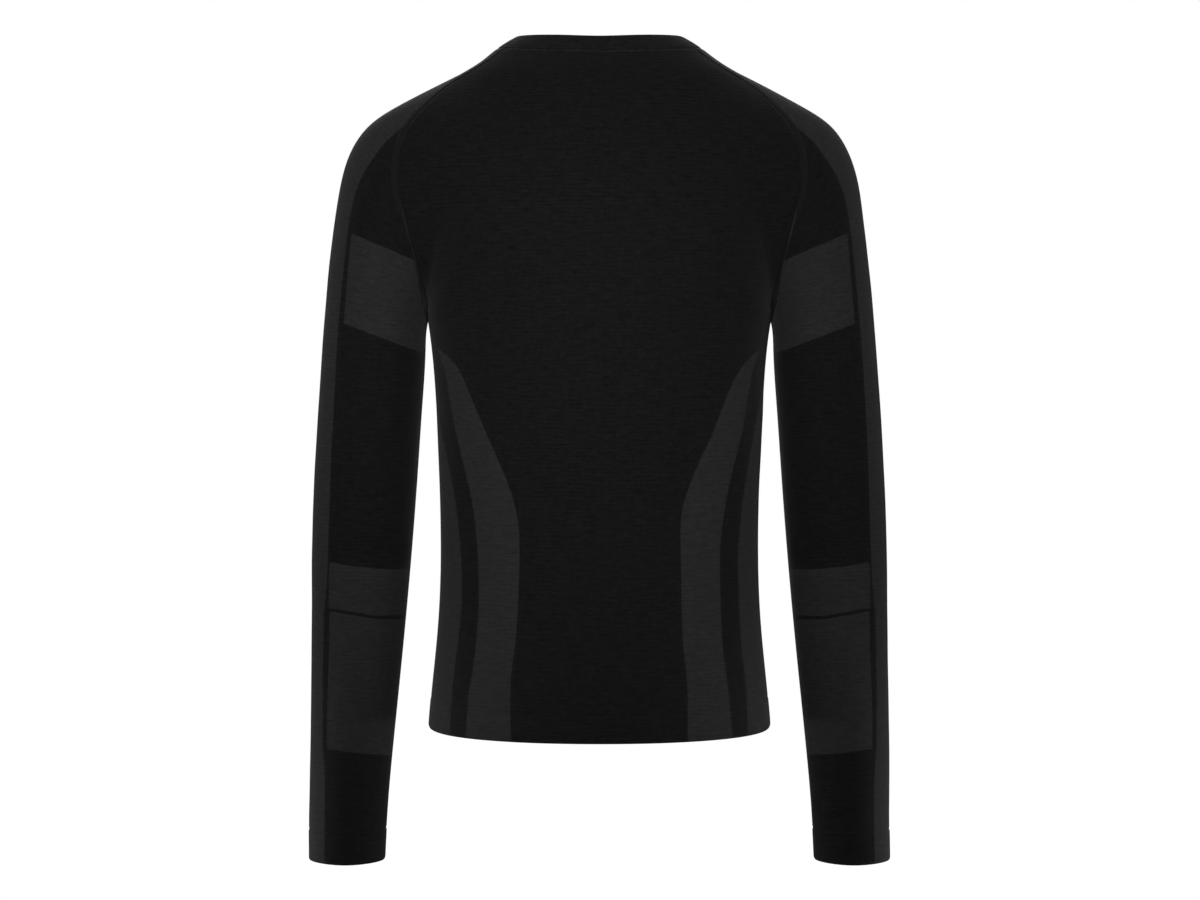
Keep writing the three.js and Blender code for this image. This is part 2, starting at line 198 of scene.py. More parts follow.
NECK = [  # degrees round the neck (front -90, side 0, back 90), seam height, top height
    (-120, -58, -42), (-90, -68, -52), (-60, -58, -42), (-30, -24, -9), (0, -1.5, 9), (30, -4.8, 9),
    (60, -8.8, 6.4), (90, -10.2, 5), (120, -8.8, 6.4),
]
HEM_HEIGHT, HEM_DROP, CUFF_HEIGHT, CUFF_SLOPE = -618, 10, -748.7, -0.136
NECK_REACH = 80  # about how far the neck seam is from the middle
neck_seam, neck_top = curve(NECK, 1), curve(NECK, 2)


def neck_turn(point):
    return np.degrees(np.arctan2(point[..., 1], np.abs(point[..., 0])))


def meet_neck_line(start, along, line):
    """Point of a neck line on the way from start."""
    start, along = np.broadcast_arrays(start, along)
    height = line(neck_turn(start + along * NECK_REACH))
    for _ in range(12):
        point = meet_form(spot(start[..., 0], start[..., 1], height), along)
        height = mix(height, line(neck_turn(point)), 0.8)
    return point


def lengths_along(points):
    """Length from the start, along a trail of points or down the columns of a grid."""
    steps = np.linalg.norm(np.diff(points, axis=0), axis=-1)
    return np.concatenate([np.zeros_like(steps[:1]), np.cumsum(steps, axis=0)])


def at_shares(trail, shares):
    length = lengths_along(trail)
    return np.stack([np.interp(shares * length[-1], length, trail[:, i]) for i in range(3)], -1)


def raglan_trail(table, side):
    rows = [(i, *row) for i, row in enumerate(table)]
    index = np.linspace(0, len(table) - 1, 241)
    x, z, down = (curve(rows, i)(index) for i in (1, 2, 3))
    down = np.radians(np.clip(down, 0, 90))
    trail = meet_form(spot(x, 0, z), spot(0, side * np.cos(down), -np.sin(down)))
    trail = trail[trail[:, 2] < neck_seam(neck_turn(trail)) - 0.5]
    way = spot(trail[0, 0], trail[0, 1], 0)
    first = meet_neck_line(spot(0, 0, 0), unit(way), neck_seam)
    return np.vstack([first, trail])


back_trail, front_trail = raglan_trail(BACK_SEAM, 1), raglan_trail(FRONT_SEAM, -1)
armpit = back_trail[-1]
front_trail[-1] = armpit
print("armpit", armpit.round(1))
for name, trail in (("back", back_trail), ("front", front_trail)):
    print(name, "raglan seam", lengths_along(trail)[-1].round(), "mm")


# %% [markdown]
# ## The pieces as grids of points
# Each cut piece becomes a grid of rows and columns about 3 mm apart, fine enough for soft folds. They
# could also be cut from one closed surface, but a grid for each gives every piece its own edges, seams
# and direction of knit. The rows are closer beside the seams, the hem and the cuffs, where the cloth
# turns over and a groove has to be round.
# %% Shares of the rows and columns
def spread(count, whole, near_start=(), near_end=()):
    """Shares from 0 to 1 in even steps, and also at given distances from either end."""
    even = np.linspace(0, 1, count + 1)
    close = [d / whole for d in near_start] + [1 - d / whole for d in near_end]
    keep = [s for s in even if s in (0, 1) or min([abs(s - c) * whole for c in close] + [9]) > 0.8]
    return np.array(sorted(keep + close))


EDGE = (0.7, 1.5, 2.6, 4.2)  # millimetres from a seam
TURN = (0.5, 1.2, 2.4)  # millimetres from a turned edge
WELT, CUFF_WELT = 25.0, 29.0


def grooved(width):
    return tuple(width + d for d in (-2.6, -1.3, -0.5, 0.4, 1.4, 2.8))


# Even steps, and the length in millimetres that they share.
ABOVE = spread(96, 262, EDGE)
BELOW_BODY = spread(120, 370, (), TURN + grooved(WELT))[1:]
BELOW_SLEEVE = spread(162, 497, (), TURN + grooved(CUFF_WELT))[1:]
ACROSS = spread(64, 215, (), EDGE)
AROUND = spread(100, 320, EDGE, EDGE)
print("rows above and below the armpit", len(ABOVE), len(BELOW_BODY), len(BELOW_SLEEVE))


# %% [markdown]
# A body panel is worked out as one half and mirrored. Above the armpit its rows run from the middle to
# the raglan seam, and below it from the middle to the side line. Just under the arm the body and the arm
# are so close that a line can slip past the crease between them. Such points are mended.
# %% Grids of the body panels
def mend_rows(rows, missed, place):
    """Points whose line slipped past the crease go on the straight way to the seam instead."""
    for row, bad, at in zip(rows, missed, np.broadcast_to(place, rows.shape[:2])):
        if bad.any():
            for k in range(3):
                row[bad, k] = np.interp(at[bad], at[~bad], row[~bad, k])


START_SHARE = 0.6  # lines start this far out from the middle, so that they meet the sides squarely
FRONT_DROP = 0.4  # the front hem dips less than the back one


def body_grid(trail, side):
    seam = at_shares(trail, ABOVE)[:, None]
    share, u = ABOVE[:, None], ACROSS[None]
    reach = START_SHARE * seam[..., 0]
    turn = u * np.arctan2(seam[..., 0] - reach, np.abs(seam[..., 1]))
    along = spot(np.sin(turn), side * np.cos(turn), 0)
    level = mix(mix(neck_seam(90 * side), armpit[2], share), seam[..., 2], u * u)
    start = spot(u * reach, 0, level)
    on_seam = meet_neck_line(start, along, neck_seam)
    plain = mix(neck_seam(90 * side), trail[0, 2], u * u)
    level = level + (1 - share) ** 4 * (on_seam[..., 2] - plain)
    upper = meet_form(spot(start[..., 0], 0, level), along)
    upper[0] = on_seam[0]
    upper[:, -1] = seam[:, 0]
    mend_rows(upper, (upper[..., 0] > seam[..., 0] + 0.2) & (u < 1), u)
    share = BELOW_BODY[:, None]
    z = mix(armpit[2], HEM_HEIGHT, share)
    end = spot(body_half(z), 0, z)
    turn = u * math.pi / 2
    drop = HEM_DROP * share**2 * (1 if side > 0 else FRONT_DROP)
    start = spot(u * START_SHARE * end[..., 0], 0, z - drop * (1 - u * u))
    lower = meet_form(start, spot(np.sin(turn), side * np.cos(turn), 0))
    lower[:, -1] = end[:, 0]
    mend_rows(lower, (lower[..., 0] > end[..., 0] + 0.3) & (u < 1), u)
    half = np.vstack([upper, lower])
    return np.concatenate([half[:, :0:-1] * (-1, 1, 1), half], 1)


back_grid, front_grid = body_grid(back_trail, 1), body_grid(front_trail, -1)
print("body grids", back_grid.shape, front_grid.shape)


# %% [markdown]
# The sleeve's rows run round the arm, from the back seam over the outside to the front seam, and below
# the armpit all the way round. Its two long edges meet under the arm, where a sleeve is sewn.
# %% Grid of the sleeve
def sleeve_grid():
    z_fine = np.linspace(neck_seam(0), armpit[2] + 4, 301)
    outer_z = at_shares(spot(arm_outer(z_fine), 0, z_fine), ABOVE)[:, 2]
    back, front = at_shares(back_trail, ABOVE), at_shares(front_trail, ABOVE)
    centre = (arm_inner(outer_z) + arm_outer(outer_z)) / 2
    back_turn = np.arctan2(back[:, 1], back[:, 0] - centre)
    front_turn = np.arctan2(-front[:, 1], front[:, 0] - centre)
    back_turn[-1] = front_turn[-1] = math.pi
    angle = mix(back_turn[:, None], -front_turn[:, None], AROUND[None])
    behind = angle > 0
    edge = np.where(behind, back[:, 2:], front[:, 2:])
    bow = angle / np.where(behind, back_turn[:, None], front_turn[:, None])
    level = mix(outer_z[:, None], edge, bow**2)
    along = spot(np.cos(angle), np.sin(angle), 0)
    start = spot(centre[:, None], 0, level)
    on_seam = meet_neck_line(start, along, neck_seam)
    plain = mix(neck_seam(0), np.where(behind, back[0, 2], front[0, 2]), bow**2)
    share = ABOVE[:, None]
    level = level + np.where(share < 0.5, (1 - share) ** 6, 0) * (on_seam[..., 2] - plain)
    upper = meet_form(spot(centre[:, None], 0, level), along)
    upper[0] = on_seam[0]
    upper[:, 0], upper[:, -1] = back, front
    least = np.where(behind, back[:, :1], front[:, :1])
    mend_rows(upper, (upper[..., 0] < least - 0.2) & (AROUND > 0) & (AROUND < 1), AROUND)
    share = BELOW_SLEEVE[:, None]
    turn = np.broadcast_to(mix(math.pi, -math.pi, AROUND[None]), (len(share), len(AROUND)))
    height = mix(upper[-1][None, :, 2], CUFF_HEIGHT, share)
    middle = arm_middle(height)
    height = height + CUFF_SLOPE * arm_depth(height) * np.sin(turn) * share
    centre = (arm_inner(height) + arm_outer(height)) / 2
    lower = meet_form(spot(centre, middle, height), spot(np.cos(turn), np.sin(turn), 0))
    return np.vstack([upper, lower]), np.vstack([angle, turn])


left_grid, left_turns = sleeve_grid()
print("sleeve grid", left_grid.shape)


# %% [markdown]
# Every point also knows how far it is from each edge of its piece, and where it is in the knit: its
# place along the courses, which run round the body and arms, and along the wales, which run up and down.
# These lengths are taken over the cloth, so that the knit keeps its size where the form leans.
# %% Lengths over the cloth
def lengths_across(grid):
    return lengths_along(grid.swapaxes(0, 1)).T


def slope_length(depth):
    """Length over the cloth from the neck down, by height, along one line of the form."""
    z = np.linspace(30, -760, 3161)
    length = np.concatenate([[0], np.cumsum(np.hypot(np.diff(depth(z)), np.diff(z)))])
    return lambda where: np.interp(-where, -z, length)


def edge_lengths(grid):
    down, across = lengths_along(grid), lengths_across(grid)
    to_side = np.minimum(across, across[:, -1:] - across)
    return {"to_neck": down, "to_end": down[-1:] - down, "to_side": to_side, "across": across}


def body_lengths(grid, depth):
    lengths = edge_lengths(grid)
    middle = lengths["across"][:, grid.shape[1] // 2][:, None]
    return lengths | {"wale": lengths["across"] - middle, "course": slope_length(depth)(grid[..., 2])}


def sleeve_lengths(grid, turns):
    lengths = edge_lengths(grid)
    across = lengths["across"]
    middle = np.array([np.interp(0, -t, a) for t, a in zip(turns, across)])[:, None]
    mean = np.concatenate([[0], np.cumsum(np.diff(lengths["to_neck"], axis=0).mean(1))])[:, None]
    return lengths | {"wale": across - middle, "course": mean + 0 * across}


facts = {
    "back": body_lengths(back_grid, body_back),
    "front": body_lengths(front_grid, body_front),
    "sleeve": sleeve_lengths(left_grid, left_turns),
}
for name, fact in facts.items():
    long, wide = fact["to_neck"][-1].max(), fact["across"][:, -1].max()
    print(name, "long", long.round(), "wide", wide.round(), "mm")


# %% [markdown]
# ## Grey areas
# The grey areas are knitted into the same cloth: a long tapered panel either side of the back, a panel
# down each side, a wide stripe down the outside of the sleeve and pads round the arm. Each is kept as a
# signed distance from its edge, as it is seen from straight behind, so that the border stays sharp and
# curved however coarse the grid is. Whatever doesn't show in the picture repeats at the front.
# %% Tables of the grey areas
BODY_AREAS = [  # height, tapered panel's near edge, its far edge and the side panel's, each left, right
    (-267, 158.2, 158.2, 152.7, 152.7, 168, 168), (-276, 147.1, 146.6, 149.1, 148.1, 164, 162),
    (-287, 133.3, 133.6, 145.1, 142.5, 160, 157), (-300, 126.4, 125.6, 141.6, 140, 156, 152.8),
    (-315, 120.3, 118.1, 139.3, 137.4, 152.6, 148.8), (-331, 113.6, 112.1, 136.4, 134.7, 149.4, 145.8),
    (-350, 105.7, 105.4, 133.1, 131.8, 145.8, 142.4), (-368, 97.6, 96.7, 128.4, 127.3, 141.8, 139.3),
    (-386, 89.4, 88.6, 123.8, 122.7, 137.8, 136), (-405, 81.7, 81.2, 119.4, 118.5, 134.1, 133.2),
    (-423, 76.5, 75.7, 115.6, 115.1, 131.1, 130.7), (-442, 73.8, 74.3, 113.5, 112.4, 129, 129),
    (-465, 73.4, 74.7, 111.7, 110.5, 127.1, 127.2), (-492, 74.2, 75.3, 110.9, 111, 126.1, 127.9),
    (-520, 75.4, 75.8, 111.6, 111.8, 127.5, 129), (-547, 77.6, 76.8, 113.5, 113.1, 130.4, 130.5),
    (-575, 81.2, 80, 117.1, 116.9, 133.8, 133.9), (-598, 82.3, 81.3, 121.1, 119.7, 136.1, 135.8),
    (-635, 81.2, 80.9, 122.8, 122.8, 137.5, 136.2),
]
STRIPE = [  # height, edge of the stripe
    (-30, 0), (-46, 60), (-55, 120), (-63, 173.4), (-75, 185.4), (-83, 196.4), (-96, 205.6), (-109, 214.8),
    (-120, 220.3), (-132, 224.9), (-145, 227.7), (-161, 230.6), (-184, 233.2), (-212, 236), (-244, 239.2),
    (-285, 242.4), (-368, 246.6), (-470, 249.8), (-500, 251.3), (-516, 253.6), (-571, 254.7), (-639, 254.8),
    (-671, 252.5), (-760, 253),
]
PADS = {  # each pad's top and bottom by distance from the middle, and its outer edge by height
    "upper": ([(140, -206.7), (228.1, -168.4)],
              [(140, -287.4), (235.1, -251.7)],
              [(-251.7, 235.1), (-168.4, 228.1)]),
    "elbow": ([(174.8, -477.4), (195.7, -477.8), (225.9, -475.2), (248.4, -470.6)],
              [(177.7, -519.4), (205.6, -520.9), (234.1, -515.8), (249.3, -513.6)],
              [(-512.4, 249.3), (-470.6, 248.4)]),
    "lower": ([(177.7, -523.9), (205.6, -523.7), (234.1, -518.8), (248.4, -516.1)],
              [(190.9, -648.4), (215.7, -647.7), (235.6, -645.4), (251.6, -642.8)],
              [(-642.7, 251.1), (-601.7, 250.7), (-556.6, 249.1), (-517.0, 248.3)]),
}
PANEL_TOP, SIDE_PANEL_TOP = -259, -268
CAMERA_REACH, CAMERA_HEIGHT = 2600.0, -368.0
print("rows in the tables", len(BODY_AREAS), len(STRIPE), "pads", list(PADS))


# %% [markdown]
# The tables were read as the areas are seen from the camera, so each point of the grid is looked at from
# there too. What lies on the front half is folded over to the back half first.
# %% Distance from the edges of the grey areas
def seen(point):
    """Distance from the middle and height, as seen from the camera's side."""
    nearer = 1 / (1 - point[..., 1] / CAMERA_REACH)
    return np.abs(point[..., 0]) * nearer, (point[..., 2] - CAMERA_HEIGHT) * nearer + CAMERA_HEIGHT


def soft_line(rows, blur=5.0):
    """Edge through a table, its corners rounded over a few millimetres, and its slope."""
    rows = np.array(sorted(rows), float)
    past_ends, near = 40, 20
    fine = np.arange(rows[0, 0] - past_ends, rows[-1, 0] + past_ends, 1.0)
    value = np.interp(fine, rows[:, 0], rows[:, 1])
    weights = np.exp(-0.5 * (np.arange(-near, near + 1) / blur) ** 2)
    value = np.convolve(np.pad(value, near, mode="edge"), weights / weights.sum(), "valid")
    slope = np.gradient(value, fine)
    return lambda where: (np.interp(where, fine, value), np.interp(where, fine, slope))


def past_line(rows, where, value, blur=5.0):
    """How far value is past the line at where, square to the line."""
    edge, slope = soft_line(rows, blur)(where)
    return (value - edge) / np.hypot(1, slope)


def body_areas(grid):
    mirrored = grid.copy()
    mirrored[..., 1] = np.abs(grid[..., 1])
    across, height = seen(mirrored)
    sides = []
    for side in (0, 1):
        near, far, outer = ([(row[0], row[i + side]) for row in BODY_AREAS] for i in (1, 3, 5))
        panel = np.minimum(past_line(near, height, across), -past_line(far, height, across))
        panel = np.minimum(panel, PANEL_TOP - height)
        side_panel = np.minimum(past_line(outer, height, across), SIDE_PANEL_TOP - height)
        sides.append(np.maximum(panel, side_panel))
    return np.where(grid[..., 0] > 0, sides[0], sides[1])


def sleeve_areas(grid):
    level = arm_middle(grid[..., 2])
    mirrored = grid.copy()
    mirrored[..., 1] = level + np.abs(grid[..., 1] - level)
    across, height = seen(mirrored)
    fields = {"stripe": past_line(STRIPE, height, across)}
    for name, (top, bottom, outer) in PADS.items():
        below = -past_line(top, across, height, 3)
        above = past_line(bottom, across, height, 3)
        fields[name] = np.minimum(np.minimum(below, above), -past_line(outer, height, across, 3))
    fields["upper"] = np.maximum(fields["upper"], fields.pop("elbow"))
    return fields


areas = {"back": {"grey": body_areas(back_grid)}, "front": {"grey": body_areas(front_grid)}}
areas["sleeve"] = sleeve_areas(left_grid)
print("grey share of the back", (areas["back"]["grey"] > 0).mean().round(2))


# %% [markdown]
# ## Folds
# The cloth is stretched over the form and almost smooth. What is left are soft troughs and ridges where
# it is drawn: out of the armpits, across the inside of the elbows and over the waist. Each is placed as a
# line with a height and a width, and fades out at both ends. A very low, wide unevenness over
# everything keeps the light from looking drawn with a ruler.
# %% Tables of the folds
BODY_FOLDS = [  # from across and height, to across and height, height of the fold, its width
    (98, -148, 66, -262, 1.9, 30), (-100, -160, -72, -262, 1.2, 30),
    (-150, -322, -129, -440, 0.9, 5), (-136, -300, -128, -390, -0.7, 6), (148, -318, 136, -420, -0.6, 6),
    (150, -262, 100, -236, -1.3, 8), (148, -272, 88, -262, -0.9, 7), (152, -250, 122, -205, 1.1, 8),
    (-150, -262, -96, -240, -1.2, 8), (-149, -274, -94, -268, -0.8, 6), (-152, -248, -118, -200, 1.2, 9),
    (-118, -396, 8, -420, -0.5, 12), (112, -408, -16, -436, -0.5, 11), (-70, -452, 62, -444, 0.45, 14),
    (-128, -520, -60, -560, 0.5, 12), (124, -500, 66, -548, -0.5, 12), (-30, -150, -84, -222, 0.5, 14),
    (34, -146, 88, -230, 0.5, 15), (0, -60, 0, -300, -0.6, 22), (-104, -590, -40, -604, -0.4, 9),
    (96, -580, 30, -600, 0.4, 10),
]
# The hidden front is drawn in like the back, the other way round and a little weaker.
FRONT_FOLDS = [(-x0, z0 - 6, -x1, z1 + 4, 0.8 * tall, wide) for x0, z0, x1, z1, tall, wide in BODY_FOLDS]
SLEEVE_FOLDS = [  # from wale and height, to wale and height, height of the fold, its width
    (130, -262, 52, -300, -1.1, 8), (136, -282, 70, -330, -0.8, 8), (128, -246, 60, -236, 1.0, 9),
    (128, -470, 56, -452, -0.9, 7), (126, -486, 44, -474, 0.7, 7), (124, -500, 60, -506, -0.9, 7),
    (110, -540, 30, -560, 0.5, 9), (120, -440, 70, -424, 0.5, 9), (100, -620, 30, -640, -0.4, 9),
    (92, -690, 20, -676, 0.4, 9), (-130, -262, -58, -296, -1.0, 8), (-126, -284, -66, -318, -0.7, 8),
    (-122, -462, -40, -448, -1.1, 8), (-120, -478, -30, -480, 0.9, 8), (-118, -498, -44, -514, -1.0, 8),
    (-112, -444, -56, -424, 0.6, 9), (-104, -530, -36, -548, 0.6, 9), (-90, -640, -24, -652, -0.5, 9),
    (-84, -700, -30, -692, 0.4, 8),
]
print("folds", len(BODY_FOLDS), "on each body panel,", len(SLEEVE_FOLDS), "on each sleeve")


# %% [markdown]
# A fold's height falls off softly to either side of its line, which bows a little, and at both ends.
# %% Height of the folds
def dip(distance, width):
    return np.exp(-((distance / width) ** 2))


def fold_height(table, across, height):
    total = np.zeros(across.shape)
    for x0, z0, x1, z1, tall, wide in table:
        dx, dz = x1 - x0, z1 - z0
        size = math.hypot(dx, dz)
        share = ((across - x0) * dx + (height - z0) * dz) / size**2
        away = ((across - x0) * dz - (height - z0) * dx) / size
        away = away - 0.05 * size * np.sin(math.pi * np.clip(share, 0, 1))
        ends = np.minimum(share * 4 + 0.4, (1 - share) * 1.6)
        total += tall * dip(away, wide) * soft(ends, 1)
    return total


UNEVEN = ((95.0, 0.9), (38.0, 0.25))  # width and height of the low swells all over


def unevenness(grid, seed):
    flat = grid.reshape(-1, 3) + seed
    total = np.zeros(len(flat))
    for size, tall in UNEVEN:
        total += tall * np.array([noise.noise(Vector(p)) for p in flat / size])
    return total.reshape(grid.shape[:-1])


WELT_RISE, STITCH_DEPTH, SEAM_DEPTH, EDGE_TURN = 0.3, 0.55, 0.5, 0.6
CREASE_DEPTH, CREASE_ON_BODY, CREASE_ON_SLEEVE = 6.0, 3.0, 1.7  # how deep, and how wide on either side
print("a fold of 1 mm is", fold_height([(0, 0, 0, 40, 1, 8)], np.array([0.0, 8.0]), 20).round(2), "high")


# %% [markdown]
# The seams, the hem and the cuffs hold the cloth, so the folds fade out there. A welt stands a little
# proud up to its line of stitches. Under the arm the cloth is drawn in to a deep, narrow crease along the
# raglan seam: steep on the sleeve's side, which lies over the body's.
# %% Work folds, grooves and welts into the grids
def dressed(grid, fact, table, seed, sleeve=False):
    z = grid[..., 2]
    folds = fold_height(table, fact["wale"] if sleeve else grid[..., 0], z)
    lie = (folds + unevenness(grid, seed)) * soft(fact["to_side"], 22) * soft(fact["to_neck"], 24)
    lie *= mix(0.35, 1, soft(fact["to_end"], 50))
    past_welt = fact["to_end"] - (CUFF_WELT if sleeve else WELT)
    lie += WELT_RISE * (1 - soft(past_welt + 1.5, 2.5)) - STITCH_DEPTH * dip(past_welt, 1.1)
    drawn_in = soft(-z - 128, 60) * soft(z + 256, 16) * (fact["to_neck"] < 400)  # down to the armpit
    lie -= CREASE_DEPTH * drawn_in * dip(fact["to_side"], CREASE_ON_SLEEVE if sleeve else CREASE_ON_BODY)
    lie -= STITCH_DEPTH * dip(fact["to_neck"], 1.3)
    lie -= SEAM_DEPTH * dip(fact["to_side"], 1.4) + EDGE_TURN * dip(fact["to_end"], 0.8)
    return grid + facing(grid) * lie[..., None]


back_cloth = dressed(back_grid, facts["back"], BODY_FOLDS, (11, 5, 3))
front_cloth = dressed(front_grid, facts["front"], FRONT_FOLDS, (41, 25, 9))
left_cloth = dressed(left_grid, facts["sleeve"], SLEEVE_FOLDS, (7, 61, 17), True)
right_cloth = dressed(left_grid, facts["sleeve"], SLEEVE_FOLDS, (87, 31, 77), True) * (-1, 1, 1)
print("the back moves by up to", np.abs(back_cloth - back_grid).max().round(2), "mm")


# %% [markdown]
# ## Colours and shader nodes
# Colours are written as on a colour chart and turned to linear light by one function. One small helper
# adds a shader node with its settings and links and gives back one of its outputs, so that a material
# reads as a short list of steps. A Mix node takes its share at input 0 and its colours at 6 and 7, and
# gives the mixed colour at output 2.
# %% Colour and node helpers
def paint(code):
    parts = [int(code[i:i + 2], 16) / 255 for i in (1, 3, 5)]
    return tuple(p / 12.92 if p <= 0.04045 else ((p + 0.055) / 1.055) ** 2.4 for p in parts) + (1.0,)


def add_node(tree, kind, inputs=None, output=0, **settings):
    node = tree.nodes.new("ShaderNode" + kind)
    for name, value in settings.items():
        setattr(node, name, value)
    for name, value in (inputs or {}).items():
        if isinstance(value, bpy.types.NodeSocket):
            tree.links.new(value, node.inputs[name])
        else:
            node.inputs[name].default_value = value
    return node.outputs[output] if node.outputs else None


def bare_nodes(owner):
    """Clears the nodes of a material or world, and gives back add_node made ready for them."""
    owner.use_nodes = True
    owner.node_tree.nodes.clear()
    return partial(add_node, owner.node_tree)


print("middle grey in linear light", round(paint("#808080")[0], 3))


# %% [markdown]
# ## Knitted cloth
# The cloth is a fine plain knit in polyester. Seen from two metres its stitches run together into faint
# level bands, about 3.6 mm apart, that wander a little, with flecks and short streaks of lighter yarn.
# Up close each stitch is a small V. A real stitch of such a knit is about 0.7 mm wide and is too fine to
# show, so it is drawn 1.15 mm wide. An image would have to be laid out on every piece. Here it all comes
# from the lengths over the cloth that every point carries, by plain sums.
# %% Sums of the knit
COURSE_BAND, WALE, COURSE = 3.6, 1.15, 0.9  # band, stitch width and stitch height in millimetres
FULL_TURN = 2 * math.pi
KNIT_SUMS = [  # result, operation, values
    ("shifted", "MULTIPLY_ADD", "wander", 5.0, "course"),
    ("band turn", "MULTIPLY", "shifted", FULL_TURN / COURSE_BAND),
    ("wave", "SINE", "band turn"),
    ("stitch across", "DIVIDE", "wale", WALE),
    ("side", "PINGPONG", "stitch across", 0.5),
    ("stitch up", "DIVIDE", "course", COURSE),
    ("leg", "MULTIPLY_ADD", "side", 1.3, "stitch up"),
    ("leg turn", "MULTIPLY", "leg", FULL_TURN),
    ("leg wave", "SINE", "leg turn"),
    ("leg weight", "ADD", "side", 0.3),
    ("loops", "MULTIPLY", "leg wave", "leg weight"),
    ("past middle", "SUBTRACT", "wander", 0.3),
    ("fade", "MAXIMUM", "past middle", 0.05),
    ("band share", "MULTIPLY", "fade", "band"),
    ("bands", "MULTIPLY", "wave", "band share"),
    ("streak", "SUBTRACT", "streaks", 0.5),
    ("fleck", "SUBTRACT", "mottle", 0.5),
    ("fine flecks", "MULTIPLY", "fleck", 1.5),
    ("flecks", "MULTIPLY_ADD", "streak", 2.0, "fine flecks"),
    # The bands and the stitch loops also lighten the colour on their raised relief and darken it in the
    # hollows: painted shade. The flecks and streaks are the yarn's own tone.
    ("mottled", "ADD", "bands", "flecks"),
    ("uneven", "MULTIPLY_ADD", "loops", 0.16, "mottled"),
    ("evening", "MULTIPLY_ADD", "dyed", -0.55, 1.0),
    ("gain", "MULTIPLY_ADD", "uneven", "evening", 1.0),
    ("low loops", "MULTIPLY", "loops", 0.22),
    ("relief", "MULTIPLY_ADD", "wave", 0.35, "low loops"),
    ("rib turn", "MULTIPLY", "wale", "ribs"),
    ("rib wave", "SINE", "rib turn"),
    ("height", "MULTIPLY_ADD", "rib wave", 1.6, "relief"),
]
print(len(KNIT_SUMS), "sums")


# %% [markdown]
# Both the knit and the sewing thread are polyester fibre. It has an IOR of about 1.5 and isn't a metal,
# but thousands of fibres break its shine up, so the roughness is high and the mirror part weak. Fibre
# ends catch light at the rims, which is the sheen. The tone and the relief come from the sums.
# %% Surface of polyester fibre
PALE_SHEEN = (0.55, 0.55, 0.55, 1.0)
POINT_VALUE = {"output": "Fac", "attribute_type": "GEOMETRY"}


def fibre_surface(add, known, sums, colour, roughness, sheen, strength, distance):
    """Runs a table of sums and ends in a matt surface with their gain and height."""
    for result, operation, *values in sums:
        inputs = {i: known.get(value, value) for i, value in enumerate(values)}
        known[result] = add("Math", inputs, operation=operation)
    tinted = {0: 1.0, 6: colour, 7: known["gain"]}
    shade = add("Mix", tinted, 2, data_type="RGBA", blend_type="MULTIPLY")
    relief = {"Strength": strength, "Distance": distance, "Height": known["height"]}
    bump = add("Bump", relief)
    surface = add("BsdfPrincipled", {
        "Base Color": shade, "Roughness": roughness, "Normal": bump, "IOR": 1.5,
        "Specular IOR Level": 0.1, "Sheen Weight": sheen, "Sheen Roughness": 0.55,
        "Sheen Tint": PALE_SHEEN})
    add("OutputMaterial", {"Surface": surface})


print("sheen", PALE_SHEEN[0], "of white")


# %% [markdown]
# The knit reads the lengths, adds two even noises and one stretched along the courses for the streaks,
# then runs the sums. The grey yarn is laid over the black one where a piece's own distance says so, and
# a border 0.9 mm wide keeps it from looking cut out.
# %% Knit material
BORDER = 0.45
WANDER, MOTTLE = 17.0, 260.0  # patches in each metre, so about 60 mm and 4 mm wide
STREAK_ALONG, STREAK_UP = 0.07, 0.55  # in each millimetre, so 14 mm long and 1.8 mm tall
KNIT_ROUGHNESS, KNIT_BUMP, KNIT_HEIGHT = 0.86, 0.5, 0.00016


def knit_material(name, ground, areas=(), sheen=0.08, band=0.10, rib=None):
    material = bpy.data.materials.new(name)
    add = bare_nodes(material)
    known = {"band": 4.0 * band, "ribs": FULL_TURN / rib if rib else 0.0, "dyed": 0.0}
    for key in ("course", "wale", *(area[0] for area in areas)):
        known[key] = add("Attribute", attribute_name=key, **POINT_VALUE)
    place = add("TexCoord", output="Object")
    known["wander"] = add("TexNoise", {"Vector": place, "Scale": WANDER, "Detail": 2.0})
    known["mottle"] = add("TexNoise", {"Vector": place, "Scale": MOTTLE, "Detail": 3.0})
    long_way = add("Math", {0: known["wale"], 1: STREAK_ALONG}, operation="MULTIPLY")
    short_way = add("Math", {0: known["course"], 1: STREAK_UP}, operation="MULTIPLY")
    lie = add("CombineXYZ", {0: long_way, 1: short_way})
    known["streaks"] = add("TexNoise", {"Vector": lie, "Scale": 1.0, "Detail": 2.0})
    colour = paint(ground)
    for key, code in areas:
        share = add("MapRange", {0: known[key], 1: -BORDER, 2: BORDER})
        colour = add("Mix", {0: share, 6: colour, 7: paint(code)}, 2, data_type="RGBA")
        known["dyed"] = add("Math", {0: known["dyed"], 1: share}, operation="MAXIMUM")
    fibre_surface(add, known, KNIT_SUMS, colour, KNIT_ROUGHNESS, sheen, KNIT_BUMP, KNIT_HEIGHT)
    return material


print("knit relief", KNIT_HEIGHT / MM, "mm")


# %% [markdown]
# The top uses four knits of the same yarn. Their hex values are the yarns as they look in the light of
# this picture.
# %% The knits of this top
# The stripe's grey is the same grey yarn painted a touch lighter: a painted highlight.
BLACK, GREY, STRIPE_GREY_PAINTED_LIGHTER = "#0c0c0c", "#222222", "#242424"
# Knitted polyester in two yarns: matt, nearly black, with grey areas that keep a soft border.
body_knit = knit_material("polyester_knit_body", BLACK, [("grey", GREY)])
# The same knit on the sleeve, its outer stripe painted a touch paler: a painted highlight on its outward
# face.
sleeve_yarns = [("upper", GREY), ("lower", GREY), ("stripe", STRIPE_GREY_PAINTED_LIGHTER)]
sleeve_knit = knit_material("polyester_knit_sleeve", BLACK, sleeve_yarns)
# Its reverse: softer and a little lighter, without the clear bands.
inner_knit = knit_material("polyester_knit_reverse", "#101010", sheen=0.12, band=0.04)
